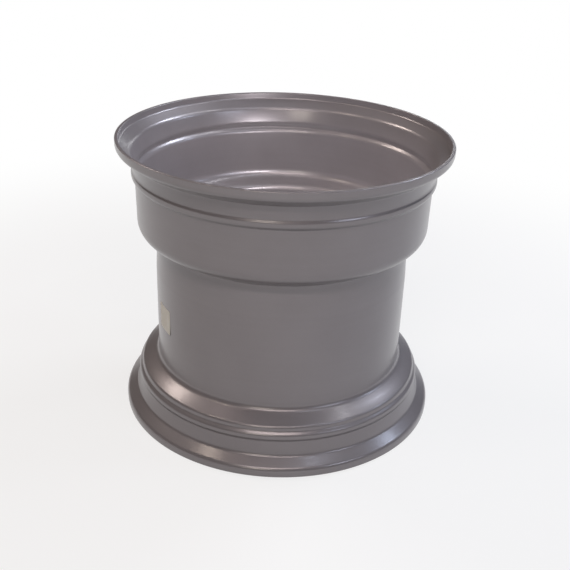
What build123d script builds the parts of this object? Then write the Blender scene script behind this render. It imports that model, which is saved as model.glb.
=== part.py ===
from build123d import *
import math
import os

# A very wide drop-centre wheel rim, rolled from one strip of steel and standing on a flange.
# Lengths are in millimetres and angles in degrees. The rim's axis is +Z, and z = 0 is the lower cut edge.
# Depths are measured from the cut edge of the nearer end, heights from the lower cut edge.

# Sheet
overall_width = 539.0
sheet_thickness = 6.3
edge_round = 1.5
tightest_bend = 0.7

# Flanges, alike at both ends
lip_diameter = 616.0
lip_depth = 15.5
flange_angle = 34.0
crown_radius = 11.0

# Bead seats, alike at both ends
seat_diameter = 571.5
seat_angle = 15.0
seat_end_depth = 57.0
heel_radius = 9.0
toe_radius = 8.0

# Humps, alike at both ends
hump_diameter = 563.0
hump_depth = 66.0
hump_crest = 8.0
hump_radius = 8.0
hump_root_depth = 76.0
hump_root_radius = 5.0

# Wall and shoulder above the well
wall_diameter = 550.0
shoulder_diameter = 547.0
shoulder_depth = 176.0
shoulder_angle = 20.0
shoulder_radius = 30.0

# Well, with a slight cone between its neck and the step line
neck_diameter = 477.0
neck_radius = 12.0
well_diameter = 483.0
step_height = 281.0
step_radius = 20.0

# Ledge below the well
ledge_depth = 84.0
ledge_angle = 27.0
ledge_edge_radius = 7.0
ledge_root_radius = 14.0

# Valve hole, through the back of the well
valve_hole_diameter = 15.7
valve_hole_height = 150.0


def slope(angle):
    return math.tan(math.radians(angle))


def turn(before, corner, after):
    return (corner - before).get_angle(after - corner)


def flange_corners():
    """Corners of one end from its cut edge to the hump's root, as (radius, depth) with bend radii."""
    lip = lip_diameter / 2
    seat = seat_diameter / 2
    hump = hump_diameter / 2
    heel_depth = lip_depth + (lip - seat) * slope(flange_angle)
    toe = seat - (seat_end_depth - heel_depth) * slope(seat_angle)
    return [
        (lip, 0.0, edge_round),
        (lip, lip_depth, crown_radius),
        (seat, heel_depth, heel_radius),
        (toe, seat_end_depth, toe_radius),
        (hump, hump_depth - hump_crest / 2, hump_radius),
        (hump, hump_depth + hump_crest / 2, hump_radius),
        (wall_diameter / 2, hump_root_depth, hump_root_radius),
    ]


def middle_corners():
    """Corners between the two humps, from the upper wall down to the ledge, as (radius, height)."""
    shoulder = shoulder_diameter / 2
    neck = neck_diameter / 2
    well = well_diameter / 2
    shoulder_height = overall_width - shoulder_depth
    neck_height = shoulder_height - (shoulder - neck) * slope(shoulder_angle)
    root_height = ledge_depth + (wall_diameter / 2 - well) * slope(ledge_angle)
    return [
        (shoulder, shoulder_height, shoulder_radius),
        (neck, neck_height, neck_radius),
        (well, step_height, step_radius),
        (well, root_height, ledge_root_radius),
        (wall_diameter / 2, ledge_depth, ledge_edge_radius),
    ]


def tyre_side():
    """Every corner of the side that the tyre sits on, from the upper cut edge to the lower one."""
    upper = [(radius, overall_width - depth, bend) for radius, depth, bend in flange_corners()]
    corners = upper + middle_corners() + flange_corners()[::-1]
    points = [Vector(radius, height) for radius, height, bend in corners]
    bends = [bend for radius, height, bend in corners]
    return points, bends


def inner_side(points, bends):
    """The same corners one sheet thickness further in, so that the sheet is even all along."""
    inner_points = []
    inner_bends = []
    last = len(points) - 1
    for i, corner in enumerate(points):
        along = [(points[j + 1] - points[j]).normalized() for j in (max(i - 1, 0), min(i, last - 1))]
        inward = [Vector(way.Y, -way.X) for way in along]
        shift = (inward[0] + inward[1]) / (1 + inward[0].dot(inward[1]))
        inner_points.append(corner + shift * sheet_thickness)
        hollow = along[0].cross(along[1]).Z
        grown = bends[i] + math.copysign(sheet_thickness, hollow)
        inner_bends.append(max(grown, tightest_bend) if 0 < i < last else edge_round)
    return inner_points, inner_bends


def fitted_bends(points, bends, run_share=0.98):
    """Bend radii of a closed outline, each limited to its share of the straight runs beside its corner."""
    count = len(points)
    halves = [
        math.tan(math.radians(turn(points[i - 1], points[i], points[(i + 1) % count])) / 2)
        for i in range(count)
    ]
    needs = [bend * half for bend, half in zip(bends, halves)]
    rooms = []
    for i in range(count):
        run = (points[(i + 1) % count] - points[i]).length
        rooms.append(min(1.0, run_share * run / (needs[i] + needs[(i + 1) % count])))
    return [bend * min(rooms[i - 1], rooms[i]) for i, bend in enumerate(bends)]


def rim_section():
    outer_points, outer_bends = tyre_side()
    inner_points, inner_bends = inner_side(outer_points, outer_bends)
    points = outer_points + inner_points[::-1]
    bends = fitted_bends(points, outer_bends + inner_bends[::-1])
    return Plane.XZ * make_face(FilletPolyline(*points, radius=bends, close=True))


def valve_hole():
    reach = lip_diameter / 2
    drill = Cylinder(valve_hole_diameter / 2, reach, align=(Align.CENTER, Align.CENTER, Align.MIN))
    return Location((0, 0, valve_hole_height), (-90, 0, 0)) * drill


rim = revolve(rim_section(), Axis.Z) - valve_hole()

os.makedirs("parts", exist_ok=True)
export_step(rim, "parts/rim.step")
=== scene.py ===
import math

import bmesh
import bpy
from mathutils import Matrix, Vector


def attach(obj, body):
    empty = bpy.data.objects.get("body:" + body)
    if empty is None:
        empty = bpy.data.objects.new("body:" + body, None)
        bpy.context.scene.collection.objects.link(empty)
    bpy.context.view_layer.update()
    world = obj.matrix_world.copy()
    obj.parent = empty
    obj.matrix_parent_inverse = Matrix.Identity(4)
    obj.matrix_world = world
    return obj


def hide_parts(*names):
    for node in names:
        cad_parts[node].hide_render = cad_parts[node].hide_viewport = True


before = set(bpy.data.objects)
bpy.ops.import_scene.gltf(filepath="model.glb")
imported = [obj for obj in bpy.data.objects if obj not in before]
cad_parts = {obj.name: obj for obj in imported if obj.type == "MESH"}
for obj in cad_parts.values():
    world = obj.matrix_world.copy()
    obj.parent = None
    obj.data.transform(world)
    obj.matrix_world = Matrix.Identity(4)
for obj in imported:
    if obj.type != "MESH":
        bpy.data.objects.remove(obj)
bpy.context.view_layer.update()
scene = bpy.context.scene
print("frame loaded:", sorted(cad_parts))

mm = 0.001        # the sizes of the rim and the label are in millimetres and degrees
sharpAngle = 40   # edges that turn more than this stay sharp
weldGap = 1e-6    # metres
sweepRadius = 1.0   # of the turning path; the outline is moved in by as much, so any value will do


# small helpers for node trees

class Value:  # a shader value that takes part in plain expressions
    def __init__(self, tree, socket):
        self.tree, self.socket = tree, socket

    def math(self, operation, first, second):
        return self.tree.add("ShaderNodeMath", {"operation": operation}, {0: first, 1: second})

    def __add__(self, other):
        return self.math("ADD", self, other)

    def __radd__(self, other):
        return self.math("ADD", other, self)

    def __sub__(self, other):
        return self.math("SUBTRACT", self, other)

    def __rsub__(self, other):
        return self.math("SUBTRACT", other, self)

    def __mul__(self, other):
        return self.math("MULTIPLY", self, other)

    def __rmul__(self, other):
        return self.math("MULTIPLY", other, self)


class Tree:  # adds a node, its settings first and then the values or links of its sockets
    def __init__(self, nodeTree):
        self.nodeTree = nodeTree

    def add(self, kind, settings=None, sockets=None, output=0):
        node = self.nodeTree.nodes.new(kind)
        for name, value in (settings or {}).items():
            setattr(node, name, value)
        for key, value in (sockets or {}).items():
            self.feed(node.inputs[key], value)
        return Value(self, node.outputs[output]) if len(node.outputs) else node

    def feed(self, socket, value):
        if isinstance(value, Value):
            self.nodeTree.links.new(value.socket, socket)
        else:
            socket.default_value = value

    def part(self, value, output):  # another output of the node that a value comes from
        return Value(self, value.socket.node.outputs[output])


def newMaterial(name):
    material = bpy.data.materials.new(name)
    material.use_nodes = True
    material.node_tree.nodes.clear()
    return material, Tree(material.node_tree)


def finishMaterial(tree, surface):
    tree.add("ShaderNodeOutputMaterial", None, {"Surface": surface})


# paint: silver-grey semi-gloss over roll-formed steel

paint = {
    "pale": (0.284, 0.264, 0.276, 1),
    "deep": (0.248, 0.229, 0.239, 1),
    "metallic": 0.3,
    "specular": 0.25,
    "gloss": (0.27, 0.34),       # lowest and highest roughness
    "cloudSize": 0.16,           # metres
    "rollPitch": 0.011,          # spacing of the faint marks round the axis
    "flakeSize": 0.0009,
    "peelSize": 0.0028,
    "peelDepth": 0.000008,
    "rollDepth": 0.00001,
    "coat": 0.3,
    "coatRoughness": 0.17,
    "spread": (0.3, 0.7),        # the part of the noise that is used
    "shadeMix": (0.75, 0.1, 0.15),   # clouds, flakes, roll marks
    "glossMix": (0.7, 0.3),          # clouds, roll marks
    "rollStretch": 0.25,         # how slowly the roll marks change round the axis
    "bumpStrength": 0.5,
}


def rimPaint(cfg):
    material, tree = newMaterial("rimPaint")
    place = tree.part(tree.add("ShaderNodeTexCoord"), "Object")
    clouds = tree.add("ShaderNodeTexNoise", None, {
        "Vector": place, "Scale": 1 / cfg["cloudSize"], "Detail": 4.0, "Roughness": 0.55})
    flake = tree.add("ShaderNodeTexVoronoi", None, {"Vector": place, "Scale": 1 / cfg["flakeSize"]}, 1)
    flakeShade = tree.add("ShaderNodeSeparateColor", None, {0: flake})
    along = tree.add("ShaderNodeMapping", None, {
        "Vector": place, "Scale": (cfg["rollStretch"], cfg["rollStretch"], 1 / cfg["rollPitch"])})
    rolls = tree.add("ShaderNodeTexNoise", None, {
        "Vector": along, "Scale": 1.0, "Detail": 1.0, "Roughness": 0.4})
    peel = tree.add("ShaderNodeTexNoise", None, {
        "Vector": place, "Scale": 1 / cfg["peelSize"], "Detail": 2.0, "Roughness": 0.45})

    start, end = cfg["spread"]
    cloudShare, flakeShare, rollShare = cfg["shadeMix"]
    shade = tree.add("ShaderNodeMapRange", {"clamp": True}, {
        "Value": clouds * cloudShare + flakeShade * flakeShare + rolls * rollShare,
        "From Min": start, "From Max": end, "To Min": 0.0, "To Max": 1.0})
    colour = tree.add("ShaderNodeMix", {"data_type": "RGBA"}, {
        "Factor": shade, 6: cfg["deep"], 7: cfg["pale"]}, 2)
    low, high = cfg["gloss"]
    cloudShare, rollShare = cfg["glossMix"]
    roughness = tree.add("ShaderNodeMapRange", {"clamp": True}, {
        "Value": clouds * cloudShare + rolls * rollShare,
        "From Min": start, "From Max": end, "To Min": low, "To Max": high})
    height = peel * cfg["peelDepth"] + rolls * cfg["rollDepth"]
    bump = tree.add("ShaderNodeBump", None, {
        "Strength": cfg["bumpStrength"], "Distance": 1.0, "Height": height})
    surface = tree.add("ShaderNodeBsdfPrincipled", None, {
        "Base Color": colour, "Roughness": roughness, "Normal": bump,
        "Metallic": cfg["metallic"], "Specular IOR Level": cfg["specular"],
        "Coat Weight": cfg["coat"], "Coat Roughness": cfg["coatRoughness"]})
    finishMaterial(tree, surface)
    return material


# paper: a bare label, matt and slightly aged

paper = {
    "fresh": (0.9, 0.89, 0.84, 1),
    "aged": (0.8, 0.78, 0.7, 1),
    "roughness": (0.55, 0.72),
    "fibre": 0.0006,
    "fibreDepth": 0.00002,
    "stain": 0.02,
    "stainMix": (0.75, 0.25),    # stains, fibres
    "spread": (0.35, 0.7),
    "bumpStrength": 0.6,
}


def labelPaper(cfg):
    material, tree = newMaterial("labelPaper")
    place = tree.part(tree.add("ShaderNodeTexCoord"), "Object")
    stain = tree.add("ShaderNodeTexNoise", None, {
        "Vector": place, "Scale": 1 / cfg["stain"], "Detail": 5.0, "Roughness": 0.6})
    fibre = tree.add("ShaderNodeTexNoise", None, {
        "Vector": place, "Scale": 1 / cfg["fibre"], "Detail": 2.0, "Roughness": 0.5})
    start, end = cfg["spread"]
    stainShare, fibreShare = cfg["stainMix"]
    mask = tree.add("ShaderNodeMapRange", {"clamp": True}, {
        "Value": stain * stainShare + fibre * fibreShare,
        "From Min": start, "From Max": end, "To Min": 0.0, "To Max": 1.0})
    colour = tree.add("ShaderNodeMix", {"data_type": "RGBA"}, {
        "Factor": mask, 6: cfg["fresh"], 7: cfg["aged"]}, 2)
    low, high = cfg["roughness"]
    bump = tree.add("ShaderNodeBump", None, {
        "Strength": cfg["bumpStrength"], "Distance": 1.0, "Height": fibre * cfg["fibreDepth"]})
    surface = tree.add("ShaderNodeBsdfPrincipled", None, {
        "Base Color": colour, "Roughness": low + mask * (high - low), "Normal": bump})
    finishMaterial(tree, surface)
    return material


# rim: the rolled section, turned about the axis

rim = {
    "width": 539.0, "sheet": 6.3, "edgeRound": 1.5, "tightestBend": 0.7,
    "lip": 616.0, "lipDepth": 15.5, "flangeAngle": 34.0, "crownBend": 11.0,
    "seat": 571.5, "seatAngle": 15.0, "seatEnd": 57.0, "heelBend": 9.0, "toeBend": 8.0,
    "hump": 563.0, "humpDepth": 66.0, "humpCrest": 8.0, "humpBend": 8.0,
    "rootDepth": 76.0, "rootBend": 5.0,
    "wall": 550.0, "shoulder": 547.0, "shoulderDepth": 176.0, "shoulderAngle": 20.0, "shoulderBend": 30.0,
    "neck": 477.0, "neckBend": 12.0, "well": 483.0, "stepHeight": 281.0, "stepBend": 20.0,
    "ledgeDepth": 84.0, "ledgeAngle": 27.0, "ledgeEdgeBend": 7.0, "ledgeRootBend": 14.0,
    "valveHole": 15.7, "valveHeight": 150.0, "valveSteps": 64,
    "turnSteps": 224, "bendSteps": 6, "runLength": 22.0,
}


def slope(angle):
    return math.tan(math.radians(angle))


def flangeCorners(cfg):  # one end, from its cut edge to the hump's root: radius, depth, bend
    lip, seat, hump = cfg["lip"] / 2, cfg["seat"] / 2, cfg["hump"] / 2
    heelDepth = cfg["lipDepth"] + (lip - seat) * slope(cfg["flangeAngle"])
    toe = seat - (cfg["seatEnd"] - heelDepth) * slope(cfg["seatAngle"])
    crest = cfg["humpCrest"] / 2
    return [
        (lip, 0.0, cfg["edgeRound"]),
        (lip, cfg["lipDepth"], cfg["crownBend"]),
        (seat, heelDepth, cfg["heelBend"]),
        (toe, cfg["seatEnd"], cfg["toeBend"]),
        (hump, cfg["humpDepth"] - crest, cfg["humpBend"]),
        (hump, cfg["humpDepth"] + crest, cfg["humpBend"]),
        (cfg["wall"] / 2, cfg["rootDepth"], cfg["rootBend"]),
    ]


def middleCorners(cfg):  # shoulder, neck, well and ledge: radius, height, bend
    shoulder, neck, well, wall = (cfg[k] / 2 for k in ("shoulder", "neck", "well", "wall"))
    shoulderHeight = cfg["width"] - cfg["shoulderDepth"]
    neckHeight = shoulderHeight - (shoulder - neck) * slope(cfg["shoulderAngle"])
    rootHeight = cfg["ledgeDepth"] + (wall - well) * slope(cfg["ledgeAngle"])
    return [
        (shoulder, shoulderHeight, cfg["shoulderBend"]),
        (neck, neckHeight, cfg["neckBend"]),
        (well, cfg["stepHeight"], cfg["stepBend"]),
        (well, rootHeight, cfg["ledgeRootBend"]),
        (wall, cfg["ledgeDepth"], cfg["ledgeEdgeBend"]),
    ]


def sectionCorners(cfg):  # the closed outline: tyre side down, inner side back up
    upper = [(r, cfg["width"] - depth, bend) for r, depth, bend in flangeCorners(cfg)]
    outer = upper + middleCorners(cfg) + flangeCorners(cfg)[::-1]
    spots = [Vector((r, z)) for r, z, bend in outer]
    last = len(outer) - 1
    inner = []
    for i, spot in enumerate(spots):
        before, after = ((spots[j + 1] - spots[j]).normalized() for j in (max(i - 1, 0), min(i, last - 1)))
        inA, inB = Vector((before.y, -before.x)), Vector((after.y, -after.x))
        moved = spot + (inA + inB) / (1 + inA.dot(inB)) * cfg["sheet"]
        hollow = before.x * after.y - before.y * after.x
        bend = max(outer[i][2] + math.copysign(cfg["sheet"], hollow), cfg["tightestBend"])
        inner.append((moved.x, moved.y, bend if 0 < i < last else cfg["edgeRound"]))
    return outer + inner[::-1]


def sectionObject(cfg):  # the outline's corners as a closed wire, with each corner's bend
    corners = sectionCorners(cfg)
    mesh = bpy.data.meshes.new("rimSection")
    count = len(corners)
    mesh.from_pydata([(r * mm, -z * mm, 0) for r, z, bend in corners],  # the sweep turns -Y up
                     [(i, (i + 1) % count) for i in range(count)], [])
    bends = mesh.attributes.new("bend", "FLOAT", "POINT")
    bends.data.foreach_set("value", [bend * mm for r, z, bend in corners])
    section = bpy.data.objects.new("rim", mesh)
    scene.collection.objects.link(section)
    return section


def rimTree():  # fillets the outline, turns it about the axis and drills the valve hole
    group = bpy.data.node_groups.new("turnedRim", "GeometryNodeTree")
    sockets = (("Geometry", "NodeSocketGeometry"), ("Turn Steps", "NodeSocketInt"),
               ("Bend Steps", "NodeSocketInt"), ("Run Length", "NodeSocketFloat"),
               ("Valve Diameter", "NodeSocketFloat"), ("Valve Height", "NodeSocketFloat"),
               ("Valve Steps", "NodeSocketInt"),
               ("Reach", "NodeSocketFloat"), ("Paint", "NodeSocketMaterial"))
    for name, kind in sockets:
        group.interface.new_socket(name, in_out="INPUT", socket_type=kind)
    group.interface.new_socket("Geometry", in_out="OUTPUT", socket_type="NodeSocketGeometry")
    tree = Tree(group)
    given = group.nodes.new("NodeGroupInput")

    def take(name):
        return Value(tree, given.outputs[name])

    wire = tree.add("GeometryNodeMeshToCurve", None, {"Mesh": take("Geometry")})
    bend = tree.add("GeometryNodeInputNamedAttribute", {"data_type": "FLOAT"}, {"Name": "bend"})
    rounded = tree.add("GeometryNodeFilletCurve", {"mode": "POLY"}, {
        "Curve": wire, "Count": take("Bend Steps"), "Radius": bend, "Limit Radius": True})
    here = tree.add("GeometryNodeInputPosition")
    onward = tree.add("GeometryNodeOffsetPointInCurve", None, {"Offset": 1}, 1)
    ahead = tree.add("GeometryNodeSampleIndex", {"data_type": "FLOAT_VECTOR", "domain": "POINT"}, {
        "Geometry": rounded, "Value": here, "Index": onward})
    gap = tree.add("ShaderNodeVectorMath", {"operation": "DISTANCE"}, {0: here, 1: ahead}, 1)
    cuts = tree.add("ShaderNodeMath", {"operation": "DIVIDE"}, {0: gap, 1: take("Run Length")})
    divided = tree.add("GeometryNodeSubdivideCurve", None, {"Curve": rounded, "Cuts": cuts})
    offset = tree.add("GeometryNodeTransform", None, {"Geometry": divided, "Translation": (-sweepRadius, 0, 0)})
    path = tree.add("GeometryNodeCurvePrimitiveCircle", {"mode": "RADIUS"}, {
        "Resolution": take("Turn Steps"), "Radius": sweepRadius})
    turned = tree.add("GeometryNodeCurveToMesh", None, {"Curve": path, "Profile Curve": offset})

    drill = tree.add("GeometryNodeMeshCylinder", None, {
        "Vertices": take("Valve Steps"), "Radius": take("Valve Diameter") * 0.5, "Depth": take("Reach")})
    middle = tree.add("ShaderNodeCombineXYZ", None, {"Y": take("Reach") * 0.5, "Z": take("Valve Height")})
    placed = tree.add("GeometryNodeTransform", None, {
        "Geometry": drill, "Rotation": (math.radians(90), 0, 0), "Translation": middle})
    drilled = tree.add("GeometryNodeMeshBoolean", {"operation": "DIFFERENCE", "solver": "EXACT"}, {
        "Mesh 1": turned, "Mesh 2": placed})
    whole = tree.add("GeometryNodeRealizeInstances", None, {"Geometry": drilled})
    painted = tree.add("GeometryNodeSetMaterial", None, {"Geometry": whole, "Material": take("Paint")})
    tree.add("NodeGroupOutput", None, {"Geometry": painted})
    return group


def bakeNodes(piece, group, inputs):  # sets the inputs, evaluates once and keeps a plain mesh
    modifier = piece.modifiers.new("shape", "NODES")
    modifier.node_group = group
    names = {item.name: item.identifier for item in group.interface.items_tree if item.in_out == "INPUT"}
    for name, value in inputs.items():
        modifier[names[name]] = value
    bpy.context.view_layer.update()
    shaped = bpy.data.meshes.new_from_object(piece.evaluated_get(bpy.context.evaluated_depsgraph_get()))
    piece.modifiers.remove(modifier)
    piece.data = shaped


def tidyMesh(piece):
    bm = bmesh.new()
    bm.from_mesh(piece.data)
    bmesh.ops.remove_doubles(bm, verts=bm.verts, dist=weldGap)
    bmesh.ops.recalc_face_normals(bm, faces=bm.faces)
    bm.to_mesh(piece.data)
    bm.free()
    piece.data.shade_smooth()
    piece.data.set_sharp_from_angle(angle=math.radians(sharpAngle))


def makeRim(cfg, material):
    piece = sectionObject(cfg)
    bakeNodes(piece, rimTree(), {
        "Turn Steps": cfg["turnSteps"], "Bend Steps": cfg["bendSteps"], "Run Length": cfg["runLength"] * mm,
        "Valve Diameter": cfg["valveHole"] * mm, "Valve Height": cfg["valveHeight"] * mm,
        "Valve Steps": cfg["valveSteps"], "Reach": cfg["lip"] / 2 * mm, "Paint": material})
    tidyMesh(piece)
    return piece


rimPiece = makeRim(rim, rimPaint(paint))
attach(rimPiece, "root")
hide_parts("rim")
low, high = Vector(rimPiece.bound_box[0]), Vector(rimPiece.bound_box[6])
print("rim:", len(rimPiece.data.polygons), "faces, size", [round(v, 4) for v in high - low])


# label: bare paper stuck on the left of the well, one corner slightly loose

label = {
    "width": 50.0, "height": 50.0, "corner": 3.0, "paper": 0.2, "glue": 0.08,
    "angle": 207.0, "centreHeight": 207.0,
    "steps": 40, "looseFrom": 0.55, "looseness": 0.9,   # the loose corner starts here, and lifts this far
    "waviness": 0.07, "waves": (2.3, 1.7, 3.1),
}


def labelSpot(cfg, u, v):  # u and v run from -1 to 1: the place on the flat label, and its lift
    x, y = u * cfg["width"] / 2, v * cfg["height"] / 2
    cornerX, cornerY = cfg["width"] / 2 - cfg["corner"], cfg["height"] / 2 - cfg["corner"]
    pastX, pastY = max(abs(x) - cornerX, 0), max(abs(y) - cornerY, 0)
    if pastX and pastY:
        inside = max(pastX, pastY) / math.hypot(pastX, pastY)
        x = math.copysign(cornerX + pastX * inside, x)
        y = math.copysign(cornerY + pastY * inside, y)
    loose = max(0.0, (u - v) / 2 - cfg["looseFrom"]) / (1 - cfg["looseFrom"])
    waveU, waveV, crossV = cfg["waves"]
    wave = (1 + math.sin(waveU * u + waveV * v) * math.cos(crossV * v)) / 2
    return x, y, cfg["looseness"] * loose ** 2 + cfg["waviness"] * wave


def makeLabel(cfg, material):
    bm = bmesh.new()
    count = cfg["steps"] + 1
    layers = []
    for depth in (0.0, cfg["paper"]):
        grid = []
        for row in range(count):
            line = []
            for column in range(count):
                x, y, lift = labelSpot(cfg, 2 * column / cfg["steps"] - 1, 2 * row / cfg["steps"] - 1)
                radius = rim["well"] / 2 + cfg["glue"] + lift + depth
                turn = math.radians(cfg["angle"]) + x / (rim["well"] / 2)
                line.append(bm.verts.new((radius * math.cos(turn) * mm, radius * math.sin(turn) * mm,
                                          (cfg["centreHeight"] + y) * mm)))
            grid.append(line)
        layers.append(grid)
    under, over = layers
    for row in range(cfg["steps"]):
        for column in range(cfg["steps"]):
            square = [(row, column), (row, column + 1), (row + 1, column + 1), (row + 1, column)]
            bm.faces.new([over[r][c] for r, c in square])
            bm.faces.new([under[r][c] for r, c in reversed(square)])
    last = cfg["steps"]
    border = [(0, c) for c in range(last)] + [(r, last) for r in range(last)]
    border += [(last, c) for c in range(last, 0, -1)] + [(r, 0) for r in range(last, 0, -1)]
    for (r, c), (nextR, nextC) in zip(border, border[1:] + border[:1]):
        bm.faces.new([under[r][c], under[nextR][nextC], over[nextR][nextC], over[r][c]])
    bmesh.ops.recalc_face_normals(bm, faces=bm.faces)
    mesh = bpy.data.meshes.new("label")
    bm.to_mesh(mesh)
    bm.free()
    mesh.shade_smooth()
    mesh.set_sharp_from_angle(angle=math.radians(sharpAngle))
    mesh.materials.append(material)
    piece = bpy.data.objects.new("label", mesh)
    scene.collection.objects.link(piece)
    return piece


labelPiece = makeLabel(label, labelPaper(paper))
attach(labelPiece, "root")
print("label:", len(labelPiece.data.polygons), "faces")


# floor, lights and camera

studio = {
    "floorSize": 60.0,
    "floorColour": (0.9, 0.9, 0.9, 1),
    "floorBounce": (0.5, 0.5, 0.5, 1),   # what the floor gives back to the rim's own shading
    "floorLift": 0.7,                    # share of plain white that the floor has beside the rim
    "clearFrom": 0.75, "clearTo": 1.7,   # radii between which the floor goes over to plain white
    "world": (0.95, 0.97, 1.0, 1),
    "worldStrength": 0.03,
}


def backdropRays(tree):  # rays that see the white background: straight, mirrored or through glass
    path = tree.add("ShaderNodeLightPath")
    straight, mirrored, through = (
        tree.part(path, name) for name in ("Is Camera Ray", "Is Glossy Ray", "Is Transmission Ray"))
    rays = straight + mirrored + through
    return tree.add("ShaderNodeClamp", None, {"Value": rays})


def makeFloor(cfg):
    half = cfg["floorSize"] / 2
    mesh = bpy.data.meshes.new("floor")
    mesh.from_pydata([(-half, -half, 0), (half, -half, 0), (half, half, 0), (-half, half, 0)], [], [(0, 1, 2, 3)])
    material, tree = newMaterial("floorPale")
    place = tree.part(tree.add("ShaderNodeTexCoord"), "Object")
    away = tree.add("ShaderNodeVectorMath", {"operation": "LENGTH"}, {0: place}, 1)
    clear = tree.add("ShaderNodeMapRange", {"interpolation_type": "SMOOTHSTEP"}, {
        "Value": away, "From Min": cfg["clearFrom"], "From Max": cfg["clearTo"]})
    seen = backdropRays(tree)
    tone = tree.add("ShaderNodeMix", {"data_type": "RGBA"}, {
        "Factor": seen, 6: cfg["floorBounce"], 7: cfg["floorColour"]}, 2)
    matt = tree.add("ShaderNodeBsdfDiffuse", None, {"Color": tone})
    white = tree.add("ShaderNodeEmission", None, {"Color": (1, 1, 1, 1), "Strength": 1.0})
    share = cfg["floorLift"] + clear * (1 - cfg["floorLift"])
    finishMaterial(tree, tree.add("ShaderNodeMixShader", None, {0: share * seen, 1: matt, 2: white}))
    mesh.materials.append(material)
    piece = bpy.data.objects.new("floor", mesh)
    scene.collection.objects.link(piece)


def makeWorld(cfg):
    world = bpy.data.worlds.new("studio")
    world.use_nodes = True
    world.node_tree.nodes.clear()
    tree = Tree(world.node_tree)
    light = tree.add("ShaderNodeBackground", None, {"Color": cfg["world"], "Strength": cfg["worldStrength"]})
    tree.add("ShaderNodeOutputWorld", None, {"Surface": light})
    scene.world = world


lamps = [  # name, azimuth, elevation, distance from the aim, size in metres, watts, colour
    ("key", 318, 26, 2.8, (0.9, 0.35), 8, (0.76, 0.84, 1.0)),
    ("right", 4, 31, 2.8, (0.5, 0.3), 8, (0.68, 0.8, 1.0)),
    ("front", 258, 24, 2.8, (0.7, 0.5), 7.5, (1.0, 0.93, 0.8)),
    ("highRight", 318, 60, 2.8, (0.9, 0.1), 4, (0.8, 0.87, 1.0)),
    ("highLeft", 205, 52, 2.8, (0.5, 0.3), 5, (1.0, 0.86, 0.72)),
    ("rearRight", 40, 44, 2.8, (0.9, 0.3), 25, (0.82, 0.88, 1.0)),
    ("rearLeft", 149, 42, 2.8, (1.1, 0.4), 20, (1.0, 0.87, 0.78)),
    ("back", 75, 10, 2.8, (1.2, 0.6), 6, (0.95, 0.98, 1.0)),
    ("stripFront", 268, 46, 2.7, (1.6, 0.1), 17, (1.0, 0.88, 0.85)),
    ("stripLeft", 200, 66, 2.7, (1.6, 0.1), 2, (1.0, 0.82, 0.78)),
    ("stripRight", 15, 60, 2.7, (1.6, 0.1), 7, (0.95, 0.97, 1.0)),
    ("boomFront", 272, 77, 1.1, (0.5, 0.1), 0.6, (1.0, 0.93, 0.93)),
    ("mouth", 315, 58, 0.27, (0.07, 0.07), 0.75, (1.0, 0.95, 0.98)),
]
aim = Vector((0, 0, 0.3))


def addLamp(name, azimuth, elevation, distance, size, power, colour):
    turn, rise = math.radians(azimuth), math.radians(elevation)
    level = math.cos(rise)
    place = aim + distance * Vector((level * math.cos(turn), level * math.sin(turn), math.sin(rise)))
    light = bpy.data.lights.new(name, "AREA")
    light.shape = "RECTANGLE"
    light.size, light.size_y = size
    light.energy = power
    light.color = colour
    lamp = bpy.data.objects.new(name, light)
    lamp.location = place
    lamp.rotation_euler = (aim - place).to_track_quat("-Z", "Y").to_euler()
    lamp.visible_camera = False
    scene.collection.objects.link(lamp)


view = {"place": (0, -1.5406, 0.9950), "lens": 54.78, "sensor": 36.0, "yaw": 0.33, "pitch": 26.375, "roll": 2.07}


def addCamera(cfg):
    data = bpy.data.cameras.new("camera")
    data.sensor_fit = "HORIZONTAL"
    data.sensor_width = cfg["sensor"]
    data.lens = cfg["lens"]
    camera = bpy.data.objects.new("camera", data)
    turn = (Matrix.Rotation(math.radians(-cfg["yaw"]), 4, "Z")
            @ Matrix.Rotation(math.radians(90 - cfg["pitch"]), 4, "X")
            @ Matrix.Rotation(math.radians(cfg["roll"]), 4, "Z"))
    camera.matrix_world = Matrix.Translation(cfg["place"]) @ turn
    scene.collection.objects.link(camera)
    scene.camera = camera


makeFloor(studio)
makeWorld(studio)
for lamp in lamps:
    addLamp(*lamp)
addCamera(view)
scene.view_settings.view_transform = "Standard"
print("stage ready")
